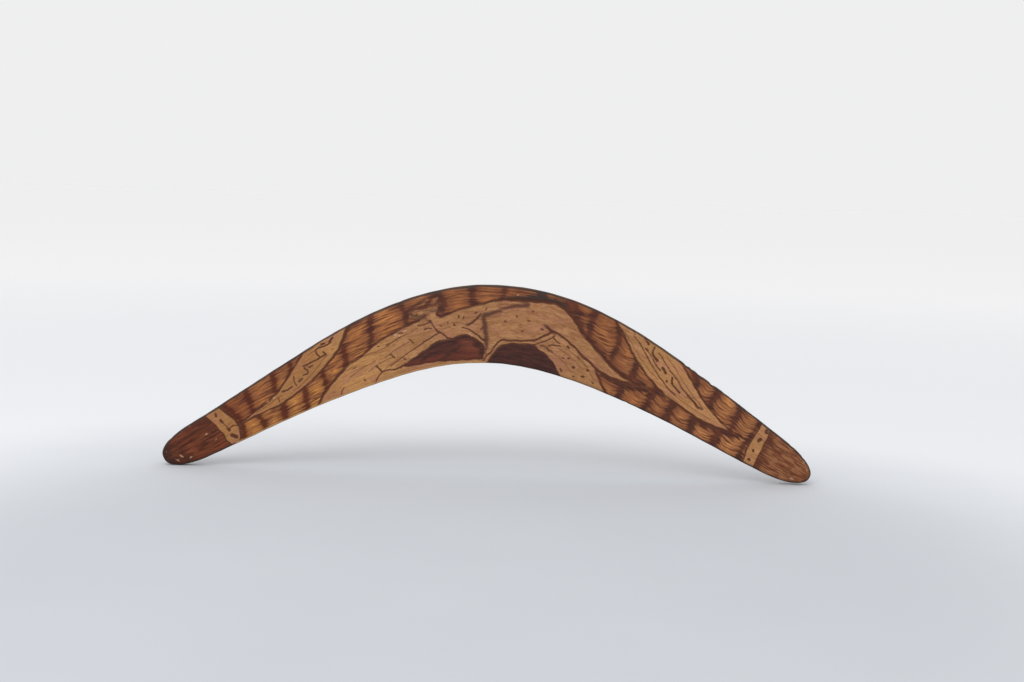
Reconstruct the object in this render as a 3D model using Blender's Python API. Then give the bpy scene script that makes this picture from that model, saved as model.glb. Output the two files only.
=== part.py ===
"""Throwing boomerang sawn from five-ply board.

Metres, +Z up. The boomerang stands on edge in the XZ plane with its elbow at the top and its
two arms running down to the tips. The decorated face looks along -Y and the flat back lies in
the plane y = 0. The origin is the centre of the elbow on the back.
"""

import math
from collections import namedtuple

import bmesh
import bpy

# One arm, from the middle of the elbow (station 0) to its tip. Angles are in degrees.
#   length      along the centreline, from the elbow's middle to the tip
#   bend        how far the centreline finally turns down from the horizontal
#   elbow_run   the length over which the elbow does most of its turning
#   tip_lift    how much the last stretch turns back towards the horizontal
#   widths      board width at WIDTH_STATIONS, as if the tip were not rounded
#   nose        length of the rounded tip, and nose_power its squareness (2 is an ellipse)
Arm = namedtuple("Arm", "side length bend elbow_run tip_lift widths nose nose_power")

WIDTH_STATIONS = (0.0, 0.045, 0.090, 0.135, 0.180, 0.230)
LEFT_ARM = Arm(
    side=-1,
    length=0.2324,
    bend=31.9,
    elbow_run=0.077,
    tip_lift=3.6,
    widths=(0.0505, 0.0472, 0.0416, 0.0339, 0.0277, 0.0214),
    nose=0.0275,
    nose_power=2.5,
)
RIGHT_ARM = Arm(
    side=1,
    length=0.2316,
    bend=32.4,
    elbow_run=0.082,
    tip_lift=3.0,
    widths=(0.0505, 0.0497, 0.0446, 0.0371, 0.0301, 0.0209),
    nose=0.0285,
    nose_power=2.3,
)
TIP_LIFT_START = 0.160
TIP_LIFT_RUN = 0.060

# The board: plies from the decorated face to the back, with the glue line between two plies.
FACE_PLY = 0.00100
CROSS_PLY = 0.00125
CORE_PLY = 0.00130
GLUE_LINE = 0.00030
FRONT_EDGE_RADIUS = 0.0020
BACK_EDGE_RADIUS = 0.0015

# Fineness of the faceted solids.
STATIONS_PER_ARM = 36
CENTRELINE_STEP = 0.0005
EDGE_SEGMENTS = 4
SMOOTH_ANGLE = math.radians(35)

PLIES = (
    ("face_veneer", FACE_PLY, (0.30, 0.15, 0.07), 0.42),
    ("front_crossband", CROSS_PLY, (0.10, 0.045, 0.028), 0.60),
    ("core_ply", CORE_PLY, (0.14, 0.065, 0.036), 0.62),
    ("back_crossband", CROSS_PLY, (0.10, 0.045, 0.028), 0.60),
    ("back_veneer", FACE_PLY, (0.34, 0.18, 0.09), 0.48),
)
THICKNESS = sum(ply[1] for ply in PLIES) + GLUE_LINE * (len(PLIES) - 1)


def clear_scene():
    for obj in list(bpy.data.objects):
        bpy.data.objects.remove(obj, do_unlink=True)


def heading(arm, distance):
    """Slope of the centreline at a distance from the elbow, in radians, walking towards +X."""
    past = max(distance - TIP_LIFT_START, 0.0) / TIP_LIFT_RUN
    drop = arm.bend * math.tanh(distance / arm.elbow_run) - arm.tip_lift * past**2
    return math.radians(-arm.side * drop)


def centre_at(arm, distance):
    """Point of the centreline, found by walking it in small straight steps."""
    steps = max(1, math.ceil(distance / CENTRELINE_STEP))
    stride = distance / steps
    x = z = 0.0
    for i in range(steps):
        slope = heading(arm, (i + 0.5) * stride)
        x += arm.side * stride * math.cos(slope)
        z += arm.side * stride * math.sin(slope)
    return x, z


def width_slopes(widths):
    """Rate of change of the width at each station; the elbow's is level, as both arms share it."""
    last = len(widths) - 1
    slopes = [0.0]
    for i in range(1, last + 1):
        before, after = i - 1, min(i + 1, last)
        run = WIDTH_STATIONS[after] - WIDTH_STATIONS[before]
        slopes.append((widths[after] - widths[before]) / run)
    return slopes


def board_width(arm, distance):
    """Smooth curve through the width stations."""
    slopes = width_slopes(arm.widths)
    span = 0
    while span < len(WIDTH_STATIONS) - 2 and distance > WIDTH_STATIONS[span + 1]:
        span += 1
    run = WIDTH_STATIONS[span + 1] - WIDTH_STATIONS[span]
    t = (distance - WIDTH_STATIONS[span]) / run
    ends = arm.widths[span] * (2 * t**3 - 3 * t**2 + 1) + arm.widths[span + 1] * (3 * t**2 - 2 * t**3)
    rates = slopes[span] * (t**3 - 2 * t**2 + t) + slopes[span + 1] * (t**3 - t**2)
    return ends + rates * run


def half_width(arm, distance):
    """Half the board's width, rounded off over the nose of the tip."""
    along = (distance - (arm.length - arm.nose)) / arm.nose
    rounding = max(0.0, 1.0 - max(0.0, along) ** arm.nose_power) ** (1.0 / arm.nose_power)
    return board_width(arm, distance) / 2 * rounding


def stations():
    """(arm, distance) from the left tip to the right tip, closer together towards the tips."""
    def along(arm, index):
        return arm.length * math.sin(math.pi / 2 * index / STATIONS_PER_ARM)

    left = [(LEFT_ARM, along(LEFT_ARM, i)) for i in range(STATIONS_PER_ARM, 0, -1)]
    right = [(RIGHT_ARM, along(RIGHT_ARM, i)) for i in range(STATIONS_PER_ARM + 1)]
    return left + right


def outline():
    """The plan outline as (x, z) points: upper edge left to right, then lower edge back again."""
    upper, lower = [], []
    for arm, distance in stations():
        x, z = centre_at(arm, distance)
        slope = heading(arm, distance)
        half = half_width(arm, distance)
        upper.append((x - half * math.sin(slope), z + half * math.cos(slope)))
        lower.append((x + half * math.sin(slope), z - half * math.cos(slope)))
    return upper + lower[-2:0:-1]


def inset(points, amount):
    """The closed outline moved inwards by amount, square to its own edge."""
    moved = []
    for i, (x, z) in enumerate(points):
        before, after = points[i - 1], points[(i + 1) % len(points)]
        run, rise = after[0] - before[0], after[1] - before[1]
        length = math.hypot(run, rise)
        moved.append((x + rise / length * amount, z - run / length * amount))
    return moved


def edge_inset(depth):
    """How far the rounded edge stands inside the outline at a depth below the decorated face."""
    for below, radius in ((depth, FRONT_EDGE_RADIUS), (THICKNESS - depth, BACK_EDGE_RADIUS)):
        if below < radius:
            return radius - math.sqrt(radius**2 - (radius - below) ** 2)
    return 0.0


def edge_depths():
    """Depths at which the board's rounded edges get a ring of points."""
    steps = [math.pi / 2 * i / EDGE_SEGMENTS for i in range(EDGE_SEGMENTS + 1)]
    front = [FRONT_EDGE_RADIUS * (1 - math.cos(step)) for step in steps]
    back = [THICKNESS - BACK_EDGE_RADIUS * (1 - math.cos(step)) for step in steps]
    return sorted(front + back)


def ply_depths(start, end):
    """The rings of one ply: its two faces and the edge rings that fall inside it."""
    clearance = GLUE_LINE / 2
    between = [depth for depth in edge_depths() if start + clearance < depth < end - clearance]
    return [start] + between + [end]


def cap(bm, ring):
    """Closes a ring with a ladder of faces between its upper and lower edge."""
    count = len(ring)
    tips = count // 2
    bm.faces.new((ring[0], ring[1], ring[-1]))
    for i in range(1, tips - 1):
        bm.faces.new((ring[i], ring[i + 1], ring[-i - 1], ring[-i]))
    bm.faces.new((ring[tips - 1], ring[tips], ring[-tips + 1]))


def material(name, colour, roughness):
    made = bpy.data.materials.new(name)
    made.use_nodes = True
    shader = made.node_tree.nodes["Principled BSDF"]
    shader.inputs["Base Color"].default_value = (*colour, 1.0)
    shader.inputs["Roughness"].default_value = roughness
    shader.inputs["Metallic"].default_value = 0.0
    return made


def make_ply(name, start, end, colour, roughness):
    """One ply of the board, between two depths below the decorated face."""
    bm = bmesh.new()
    rings = []
    for depth in ply_depths(start, end):
        points = inset(outline(), edge_inset(depth))
        rings.append([bm.verts.new((x, depth - THICKNESS, z)) for x, z in points])
    for near, far in zip(rings, rings[1:]):
        for i in range(len(near)):
            bm.faces.new((near[i - 1], near[i], far[i], far[i - 1]))
    cap(bm, rings[0])
    cap(bm, rings[-1])
    bmesh.ops.recalc_face_normals(bm, faces=bm.faces)
    mesh = bpy.data.meshes.new(name)
    bm.to_mesh(mesh)
    bm.free()
    mesh.materials.append(material(name, colour, roughness))
    mesh.shade_smooth()
    mesh.set_sharp_from_angle(angle=SMOOTH_ANGLE)
    bpy.context.scene.collection.objects.link(bpy.data.objects.new(name, mesh))


def main():
    clear_scene()
    depth = 0.0
    for name, ply_thickness, colour, roughness in PLIES:
        make_ply(name, depth, depth + ply_thickness, colour, roughness)
        depth += ply_thickness + GLUE_LINE


main()
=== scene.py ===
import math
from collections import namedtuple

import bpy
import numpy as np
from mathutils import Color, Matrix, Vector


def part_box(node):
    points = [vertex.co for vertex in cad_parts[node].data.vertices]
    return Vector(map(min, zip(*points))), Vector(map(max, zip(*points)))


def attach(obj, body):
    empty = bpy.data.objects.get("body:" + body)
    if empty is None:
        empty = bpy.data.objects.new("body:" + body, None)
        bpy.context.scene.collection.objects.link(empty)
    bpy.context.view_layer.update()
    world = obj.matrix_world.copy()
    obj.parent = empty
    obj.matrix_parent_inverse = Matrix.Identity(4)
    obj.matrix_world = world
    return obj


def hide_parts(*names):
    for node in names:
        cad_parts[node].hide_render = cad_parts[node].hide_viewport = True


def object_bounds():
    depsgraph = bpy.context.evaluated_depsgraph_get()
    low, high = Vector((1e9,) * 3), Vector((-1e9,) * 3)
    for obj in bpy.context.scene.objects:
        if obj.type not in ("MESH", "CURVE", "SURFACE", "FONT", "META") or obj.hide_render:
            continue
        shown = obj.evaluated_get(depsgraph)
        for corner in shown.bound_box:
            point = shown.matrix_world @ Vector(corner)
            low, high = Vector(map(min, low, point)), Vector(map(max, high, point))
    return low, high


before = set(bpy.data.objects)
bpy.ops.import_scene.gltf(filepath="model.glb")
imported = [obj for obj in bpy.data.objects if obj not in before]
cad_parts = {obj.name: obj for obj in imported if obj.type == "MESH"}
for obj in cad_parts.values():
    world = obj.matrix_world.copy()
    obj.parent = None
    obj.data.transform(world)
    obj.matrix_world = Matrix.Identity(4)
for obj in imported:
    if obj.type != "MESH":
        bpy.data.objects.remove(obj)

# A wooden throwing boomerang of five plies, its front face decorated by burning.
#
# The board's plan and the decoration are laid out in millimetres, x to the right and z up from
# the elbow's centre as the decorated face is seen. "Along" is the distance from the elbow down
# an arm, negative on the left arm, and "across" is measured from the arm's centreline.

MM = 0.001
cad_low, cad_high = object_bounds()

# ---- The board's plan, with the CAD model's driving dimensions in millimetres and degrees ----

Arm = namedtuple("Arm", "length bend elbow_run tip_lift widths nose nose_power")
LEFT_ARM = Arm(232.4, 31.9, 77.0, 3.6, (50.5, 47.2, 41.6, 33.9, 27.7, 21.4), 27.5, 2.5)
RIGHT_ARM = Arm(231.6, 32.4, 82.0, 3.0, (50.5, 49.7, 44.6, 37.1, 30.1, 20.9), 28.5, 2.3)
WIDTH_STATIONS = (0.0, 45.0, 90.0, 135.0, 180.0, 230.0)
TIP_LIFT_START = 160.0
TIP_LIFT_RUN = 60.0
FRONT_EDGE_RADIUS = 2.0
BACK_EDGE_RADIUS = 1.5
WALK_STEP = 0.25


def heading(along):
    """The centreline's slope in radians, walking from the left tip to the right tip."""
    slope = np.zeros_like(along)
    for arm, side, here in ((LEFT_ARM, -1, along < 0), (RIGHT_ARM, 1, along >= 0)):
        distance = np.abs(along[here])
        past = np.maximum(distance - TIP_LIFT_START, 0) / TIP_LIFT_RUN
        drop = arm.bend * np.tanh(distance / arm.elbow_run) - arm.tip_lift * past**2
        slope[here] = np.radians(-side * drop)
    return slope


def centreline(along):
    """(x, z) of the centreline at each distance along it."""
    reach = math.ceil(max(LEFT_ARM.length, RIGHT_ARM.length)) + 1.0
    walk = np.arange(-reach, reach + WALK_STEP / 2, WALK_STEP)
    middle = len(walk) // 2
    slope = heading((walk[1:] + walk[:-1]) / 2)
    x = np.concatenate([[0], np.cumsum(WALK_STEP * np.cos(slope))])
    z = np.concatenate([[0], np.cumsum(WALK_STEP * np.sin(slope))])
    return np.interp(along, walk, x - x[middle]), np.interp(along, walk, z - z[middle])


def board_width(widths, distance):
    """Smooth curve through the width stations."""
    places = np.array(WIDTH_STATIONS)
    widths = np.array(widths)
    slopes = np.gradient(widths, places)
    slopes[1:-1] = (widths[2:] - widths[:-2]) / (places[2:] - places[:-2])
    slopes[0] = 0.0
    span = np.clip(np.searchsorted(places, distance) - 1, 0, len(places) - 2)
    run = places[span + 1] - places[span]
    t = (distance - places[span]) / run
    ends = widths[span] * (2 * t**3 - 3 * t**2 + 1) + widths[span + 1] * (3 * t**2 - 2 * t**3)
    rates = slopes[span] * (t**3 - 2 * t**2 + t) + slopes[span + 1] * (t**3 - t**2)
    return ends + rates * run


def half_width(along):
    half = np.zeros_like(along)
    for arm, here in ((LEFT_ARM, along < 0), (RIGHT_ARM, along >= 0)):
        distance = np.abs(along[here])
        nose = np.clip((distance - (arm.length - arm.nose)) / arm.nose, 0, 1)
        rounding = (1 - nose**arm.nose_power) ** (1 / arm.nose_power)
        half[here] = board_width(arm.widths, distance) / 2 * rounding
    return half


def stations(step):
    """Distances along the board, step apart and closing up round the tips."""
    sides = []
    for arm in (LEFT_ARM, RIGHT_ARM):
        straight = arm.length - arm.nose
        body = np.linspace(0, straight, math.ceil(straight / step) + 1)
        turns = math.ceil(arm.nose * math.pi / 2 / step)
        nose = straight + arm.nose * np.sin(np.linspace(0, math.pi / 2, turns + 1))
        sides.append(np.concatenate([body, nose[1:]]))
    return np.concatenate([-sides[0][:0:-1], sides[1]])


def outline(along):
    """Closed outline as (x, z) rows: the upper edge left to right, then the lower edge back."""
    slope = heading(along)
    square = np.stack([-np.sin(slope), np.cos(slope)], axis=1) * half_width(along)[:, None]
    middle = np.stack(centreline(along), axis=1)
    return np.concatenate([middle + square, (middle - square)[-2:0:-1]])


def inward(points):
    """Unit vectors square to a closed outline, pointing into the board."""
    run = np.roll(points, -1, axis=0) - np.roll(points, 1, axis=0)
    run /= np.linalg.norm(run, axis=1)[:, None]
    return np.stack([run[:, 1], -run[:, 0]], axis=1)


# ---- Fields: how far each point of the face lies from the marks of the decoration ----

CURVE_STEP = 0.7
PIECE_SEGMENTS = 14


def smooth_path(points):
    """Points close together on the curve that passes through the given points."""
    points = np.array(points, float)
    if len(points) < 3:
        return points
    ends = np.concatenate([[2 * points[0] - points[1]], points, [2 * points[-1] - points[-2]]])
    path = []
    for a, b, c, d in zip(ends, ends[1:], ends[2:], ends[3:]):
        count = max(2, math.ceil(np.linalg.norm(c - b) / CURVE_STEP))
        t = np.linspace(0, 1, count, endpoint=False)[:, None]
        bend = 2 * b + (c - a) * t + (2 * a - 5 * b + 4 * c - d) * t**2
        path.append((bend + (3 * b - a - 3 * c + d) * t**3) / 2)
    path.append(points[-1:])
    return np.concatenate(path)


def lower_by_stroke(field, places, path, widths, reach):
    """Lowers a field to the distance from a stroke's edge, where that is less."""
    share = np.linspace(0, 1, len(path))
    half = (widths[0] + (widths[1] - widths[0]) * share) / 2
    for first in range(0, len(path) - 1, PIECE_SEGMENTS):
        part = path[first : first + PIECE_SEGMENTS + 1]
        part_half = half[first : first + PIECE_SEGMENTS + 1]
        margin = reach + part_half.max()
        low, high = part.min(axis=0) - margin, part.max(axis=0) + margin
        near = np.flatnonzero(((places > low) & (places < high)).all(axis=1))
        if len(near) == 0:
            continue
        start, run = part[:-1], part[1:] - part[:-1]
        offset = places[near][:, None, :] - start[None]
        t = np.clip((offset * run).sum(axis=2) / (run**2).sum(axis=1), 0, 1)
        gap = np.linalg.norm(offset - t[:, :, None] * run, axis=2)
        gap -= part_half[:-1] + (part_half[1:] - part_half[:-1]) * t
        field[near] = np.minimum(field[near], gap.min(axis=1))


def strokes_field(places, strokes, reach):
    """Distance from the nearest stroke's edge, negative inside it, and never over reach."""
    field = np.full(len(places), float(reach))
    for width, points in strokes:
        widths = width if isinstance(width, tuple) else (width, width)
        lower_by_stroke(field, places, smooth_path(points), widths, reach)
    return field


def inside(places, loop):
    """Whether each place lies inside a closed loop."""
    odd = np.zeros(len(places), bool)
    x, z = places.T
    for (x0, z0), (x1, z1) in zip(loop, np.roll(loop, -1, axis=0)):
        if z0 == z1:
            continue
        crosses = (z0 > z) != (z1 > z)
        odd ^= crosses & (x < x0 + (z - z0) * (x1 - x0) / (z1 - z0))
    return odd


def regions_field(places, regions, reach):
    """Distance from the nearest region, negative inside it. A region is curves put end to end."""
    field = np.full(len(places), float(reach))
    for curves in regions:
        loop = np.concatenate([smooth_path(curve) for curve in curves])
        border = np.full(len(places), float(reach))
        closed = np.concatenate([loop, loop[:1]])
        closed = closed[np.append(True, np.linalg.norm(np.diff(closed, axis=0), axis=1) > 1e-6)]
        lower_by_stroke(border, places, closed, (0.0, 0.0), reach)
        border = np.where(inside(places, loop), -border, border)
        field = np.minimum(field, border)
    return field


# ---- The decoration. A stroke is (width, points), and (start, end) widths taper it ----

LEFT_BAND_OUTER = [
    (-189, -58), (-183, -65.2), (-178.2, -69), (-173.9, -73.9), (-170.6, -77.4), (-168.6, -80.8),
    (-165.6, -84), (-162, -92),
]
LEFT_BAND_INNER = [
    (-161, -88), (-160.2, -80.9), (-159.6, -76.8), (-160.8, -71.6), (-163.8, -67), (-168.6, -63.2),
    (-173.8, -59.4), (-180, -54),
]
LEFT_LEAF_LOWER = [
    (-161, -70.3), (-150, -64), (-140, -59.3), (-130, -53.3), (-120, -45.3), (-110, -35.7),
    (-105, -29.5), (-100, -23), (-97, -18), (-94, -10), (-92, -5), (-88, 0), (-85, 5),
]
LEFT_LEAF_UPPER = [
    (-117, -13), (-120, -20.5), (-121.8, -24.5), (-125, -30), (-130, -38.3), (-135, -46.5),
    (-140, -52.5), (-145, -57), (-150, -60.8), (-161, -70.3),
]
FIELD_LINE = [
    (-112, -62), (-110, -56), (-108, -51.5), (-105, -46.3), (-100, -39.5), (-92, -30), (-85, -25),
    (-80, -20.5), (-75, -15.7), (-70, -12), (-60, -6), (-55, -3), (-50, -0.6), (-46.5, 1.2),
]
HEAD_LINE = [
    (-46.5, 1.2), (-49.4, 1.6), (-52, 2.2), (-53.4, 3.5), (-52.2, 5.2), (-50.6, 6.9), (-48.4, 8),
    (-45.6, 7.9), (-43, 8.5), (-40.2, 9.4), (-37, 10.1), (-34.8, 10), (-34.4, 8), (-35.5, 5),
]
NECK_LINE = [
    (-35.5, 5), (-32.5, 4.2), (-28, 5.6), (-25, 7.4), (-20, 9), (-15, 10.7), (-10, 12), (-5, 13.5),
    (0, 15), (5, 15.8), (12, 16.2),
]
BACK_LINE = [
    (12, 16.2), (25, 15.8), (36, 15.4), (41, 14.4), (45, 12.3), (49, 9.2), (52, 5.6), (55, 1.6),
    (57, -2), (60, -6), (64, -10), (68, -14.5), (72, -18.7), (76, -23), (80, -26.6), (85, -30.6),
    (90, -33.6), (96, -36.2),
]
TAIL_LINE = [
    (96, -36.2), (88, -35), (80, -32.8), (75, -30.8), (71, -28.4), (67, -25.5), (64, -22.5),
    (60, -19.5), (57, -16.5), (54, -13.2), (50, -10), (46, -6.6), (42, -4.3), (38, -2.6),
    (35.5, -0.4),
]
FIELD_END = [(67, -25.5), (69.3, -31), (72, -37), (75, -41.8), (78, -47)]
RIGHT_LEAF_LOWER = [
    (77.5, 10), (80.6, 3), (83.5, -1), (86, -6), (89, -12), (92, -17.5), (98, -26), (102, -31.2),
    (107, -36.5), (112, -41.2), (118, -45.7), (125, -50.3), (133, -55.5), (140, -59), (148, -62.2),
    (157, -65),
]
RIGHT_LEAF_UPPER = [
    (157, -65), (152, -60.5), (147, -55.5), (143, -51), (139, -46.5), (136, -42.5), (133, -37.5),
    (130.5, -33.5), (127.5, -28.8), (124, -23), (120.5, -17.5), (117, -11),
]
RIGHT_BAND_INNER = [
    (180, -52), (176, -58.5), (174, -63), (170.5, -69), (167.5, -75), (165.7, -81), (164.5, -90),
]
RIGHT_BAND_OUTER = [
    (169.5, -94), (172, -87), (174, -82), (176, -77.5), (178.3, -72), (181, -66), (183, -57),
]

NEAR_EAR = [(-45.6, 11.1), (-44.4, 12.3), (-42.8, 12.8), (-43, 11.6), (-45.6, 11.1)]
FAR_EAR = [(-39.6, 12), (-37.8, 14.3), (-34.7, 16.6), (-35.8, 14.2), (-37.4, 12.6), (-39.6, 12)]
PALE_REGIONS = (
    [LEFT_BAND_OUTER, LEFT_BAND_INNER],
    [LEFT_LEAF_LOWER, [(-85, 5), (-95, 14), (-117, -4)], LEFT_LEAF_UPPER],
    [
        FIELD_LINE, HEAD_LINE, NECK_LINE, BACK_LINE, TAIL_LINE[:6], FIELD_END,
        [(78, -47), (60, -42), (30, -35), (0, -32), (-30, -33), (-60, -42), (-90, -56), (-112, -62)],
    ],
    [RIGHT_LEAF_LOWER, RIGHT_LEAF_UPPER, [(117, -11), (112, 0), (95, 14)]],
    [RIGHT_BAND_INNER, RIGHT_BAND_OUTER],
    [NEAR_EAR],
    [FAR_EAR],
)

LEFT_LENS_TOP = [
    (-56.5, -28.7), (-52, -25.3), (-45, -20.3), (-40, -16.3), (-35, -12.6), (-31, -11),
    (-25, -10.1), (-21.5, -8.2), (-17, -7.2), (-13, -8), (-9.5, -10), (-6, -12), (-4.4, -15),
    (-4.5, -19), (-5, -22.1),
]
LEFT_LENS_FOOT = [
    (-5, -22.1), (-10, -22.7), (-20, -23.6), (-30, -24.5), (-40, -25.8), (-50, -28.2),
    (-56.5, -28.7),
]
RIGHT_LENS_TOP = [(-2.6, -26), (-0.6, -22), (4, -16), (7, -13.4), (12, -12.1), (20, -12), (28, -12.2)]
RIGHT_LENS_SIDE = [
    (28, -12.2), (31, -15), (34.5, -17), (39, -21.5), (41, -24), (42.5, -27), (45, -31), (47, -36),
]
LENS_REGIONS = (
    [LEFT_LENS_TOP, LEFT_LENS_FOOT],
    [RIGHT_LENS_TOP, RIGHT_LENS_SIDE, [(47, -36), (20, -37), (-2.6, -31)]],
)

TIP_REGIONS = (
    [LEFT_BAND_OUTER, [(-162, -92), (-190, -115), (-225, -90), (-189, -58)]],
    [RIGHT_BAND_OUTER, [(183, -57), (225, -75), (200, -115), (169.5, -94)]],
)

# Bars across the hatched ground.
BARS = (
    (4.0, [(-176, -53), (-170.5, -58.6), (-165.4, -62.4), (-160.6, -66.6), (-158, -72), (-157.4, -77),
        (-158, -83)]),
    (4.2, [(-158.5, -44), (-155, -53), (-152, -61)]),
    (4.0, [(-141.5, -34), (-138.7, -41), (-138, -47.5)]),
    (3.6, [(-130, -27), (-127.8, -33), (-129.5, -38)]),
    (2.6, [(-133, -28.5), (-127, -26), (-120, -20.5)]),
    (4.2, [(-148, -64.5), (-145, -68), (-142.5, -74)]),
    (5.0, [(-133, -55), (-131.8, -60), (-130.2, -67)]),
    (4.2, [(-119, -45), (-118, -51), (-116, -60)]),
    (3.6, [(-108.7, -32.5), (-107, -37), (-105.2, -41.5), (-104.6, -46)]),
    (4.6, [(-96, -15), (-94, -21), (-92.3, -29)]),
    (3.0, [(-94.5, -11), (-91, -5), (-86, 1)]),
    (3.4, [(-77.6, 7), (-77.5, -3), (-76.8, -10), (-77.2, -17)]),
    ((4.4, 3.0), [(-60.5, 14), (-57.4, 8.6), (-55, 5), (-54.6, 0)]),
    (5.0, [(-38, 21), (-34.5, 18), (-31, 13.5), (-31.5, 8)]),
    (4.6, [(-14.3, 26), (-13, 20), (-12.2, 13)]),
    (4.2, [(8.4, 26), (7.4, 20), (6.5, 16)]),
    (6.6, [(31.5, 25), (32, 20), (33, 16)]),
    (3.2, [(10, 17), (20, 17.2), (30, 17.2), (40, 15.4)]),
    ((4.5, 3.4), [(40, 15.6), (46, 14), (51.5, 10), (55, 5), (58, -0.5)]),
    (4.2, [(51, 18.5), (53.5, 13), (55.5, 8)]),
    (4.6, [(67, 12), (64.6, 6), (63.4, 0), (62.2, -7)]),
    (3.8, [(79, 8), (81.8, -1), (82, -7), (80.2, -13), (77.5, -20)]),
    ((2.4, 3.6), [(58, -2), (66, -11), (74, -19.5), (82, -27), (90, -32.2), (99, -36)]),
    (5.0, [(95, -19), (93, -25), (90.5, -32)]),
    ((3.6, 2.6), [(72, -30), (80, -34), (86, -37.5), (94, -38.5), (104, -39.5), (112, -41)]),
    (5.6, [(109, -36.5), (107, -39.5), (103.5, -43)]),
    (5.0, [(85, -36), (84.5, -40), (81.5, -46)]),
    (4.6, [(104, -43), (101.5, -48), (98.5, -54)]),
    (5.4, [(119.5, -46.5), (116.5, -51), (114, -58)]),
    (5.8, [(132, -55), (131, -61), (128.5, -68)]),
    ((2.0, 3.6), [(130, -55), (140, -60.6), (150, -64.6), (162, -67.2)]),
    (6.0, [(150, -63), (148, -67), (145, -73)]),
    (4.6, [(167, -70), (164, -75.5), (161.6, -83)]),
    (4.4, [(130.5, -24), (132.3, -29.5), (133.6, -35)]),
    (5.8, [(149, -35.5), (146, -41), (142.8, -45.5), (141, -50)]),
    (4.8, [(163, -46), (161, -52.5), (158.3, -57), (156.6, -62)]),
    (3.4, [(177, -55), (172.6, -61.5), (169.5, -67), (166, -74)]),
)

# Soft scorched strokes over the pale ground: the figure's muzzle, ears and shading.
SOFT_STROKES = (
    ((3.4, 2.4), [(-55.6, 3.6), (-54, 6), (-52, 7.8), (-50, 9.4)]),
    ((2.2, 2.4), [(-50, 9.4), (-48.4, 11), (-46.4, 12.8), (-43.6, 14)]),
    ((2.0, 1.8), [(-47.2, 9.2), (-45, 9.7), (-43.2, 10.3), (-42, 11.6)]),
    ((2.4, 2.6), [(-42.2, 10), (-41.2, 12), (-40, 14.2), (-38, 16.4), (-35.4, 17.8)]),
    ((1.8, 2.0), [(-39.4, 10.9), (-37, 11.4), (-34.8, 12.6), (-33.8, 14.4), (-33.2, 16.2)]),
    ((2.0, 2.4), [(-34, 11.8), (-32.8, 9.8), (-31.8, 8)]),
    ((1.6, 2.2), [(-39.4, 6.9), (-37, 7.1), (-35, 7.8), (-33.4, 8.4)]),
    ((2.4, 2.2), [(-35, 6.6), (-34.2, 5), (-32.4, 4.4), (-30, 5.2), (-28, 6.2)]),
    ((1.4, 3.6), [(-51, 2.2), (-48.4, 1.9), (-46.4, 2), (-44.6, 2.6), (-43, 4)]),
    ((2.6, 1.8), [(-52.2, 4.6), (-50, 4), (-47.6, 3.6), (-45.2, 3.8)]),
    (0.9, [(-51.4, 5.6), (-49.6, 6.6), (-47, 7), (-42.6, 7.6), (-38, 8.8)]),
    (0.5, [(-45.2, 11.6), (-43.2, 12.4)]),
    (0.6, [(-39, 12.6), (-36.8, 14.2), (-35, 16)]),
    (0.5, [(-41.6, 6.8), (-40.6, 5), (-39.8, 3)]),
    ((2.2, 1.2), [(-43, 3.4), (-41.8, 2.2), (-40.2, 1.2), (-38.6, 0.2)]),
    ((1.2, 1.0), [(-56, -0.2), (-53, -0.4), (-49.6, 0.2), (-46.4, 1)]),
    ((1.8, 3.8), [(3.2, 9.2), (8, 10.6), (12, 11.7), (17, 12.6), (22.6, 13)]),
    ((3.4, 2.2), [(-5, 5.4), (-2.4, 6.2), (1, 7.8), (5.6, 8.6)]),
    ((2.0, 1.4), [(-15.4, -0.8), (-12.5, 0.8), (-9.6, 3.2), (-6, 6)]),
    ((3.0, 3.6), [(-5.2, 5), (-4.4, 0), (-3.8, -4), (-3.2, -9)]),
    ((3.8, 2.0), [(-3.2, -9), (-2.8, -14), (-4, -19)]),
    ((2.2, 1.6), [(34.4, 0.2), (37.6, -2.2), (41, -4.8)]),
)

# Ground burned nearly black along the figure's back.
CHARRED_STROKES = (
    ((1.2, 2.4), [(4, 16.4), (10, 17.2), (17, 17.7), (24, 18)]),
    ((3.0, 4.4), [(22, 17.9), (28, 18.3), (34, 17.6)]),
    ((4.0, 2.0), [(34, 17.4), (41, 15.8), (48, 13)]),
    ((4.4, 5.4), [(30, 18.6), (30.8, 21), (31.2, 24)]),
)

# Places where a knock or a rub took the finish off, as rows of width, x, z, x, z.
SCUFFS = (
    (0.9, -201.4, -94.3, -199.6, -94.8), (1.0, -198.2, -91.8, -197.2, -92.4),
    (0.4, -193, -93.2, -191, -92.2), (0.4, -183, -77.6, -181.6, -76.8), (0.5, -176.2, -80.4, -175.4, -80),
    (0.9, 204.4, -82.4, 204.9, -83.2), (0.5, 196.6, -93.8, 198, -94.1), (0.4, 206.4, -87.4, 206.7, -88.4),
    (0.8, -62, -8.7, -60.8, -8), (0.7, -59.2, -9.8, -58.6, -9.4), (0.6, -56, -6.2, -54.4, -5.7),
    (0.5, -53, -7, -52, -6.4), (0.6, -44.2, -3.4, -43.6, -3.1), (0.8, -143.2, -55.2, -142.6, -54.8),
    (0.8, -138.4, -52.2, -137.8, -51.6), (0.5, 16.2, 19.3, 16.7, 19.1), (0.5, -14, -6.5, -12, -7.4),
)

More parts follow.
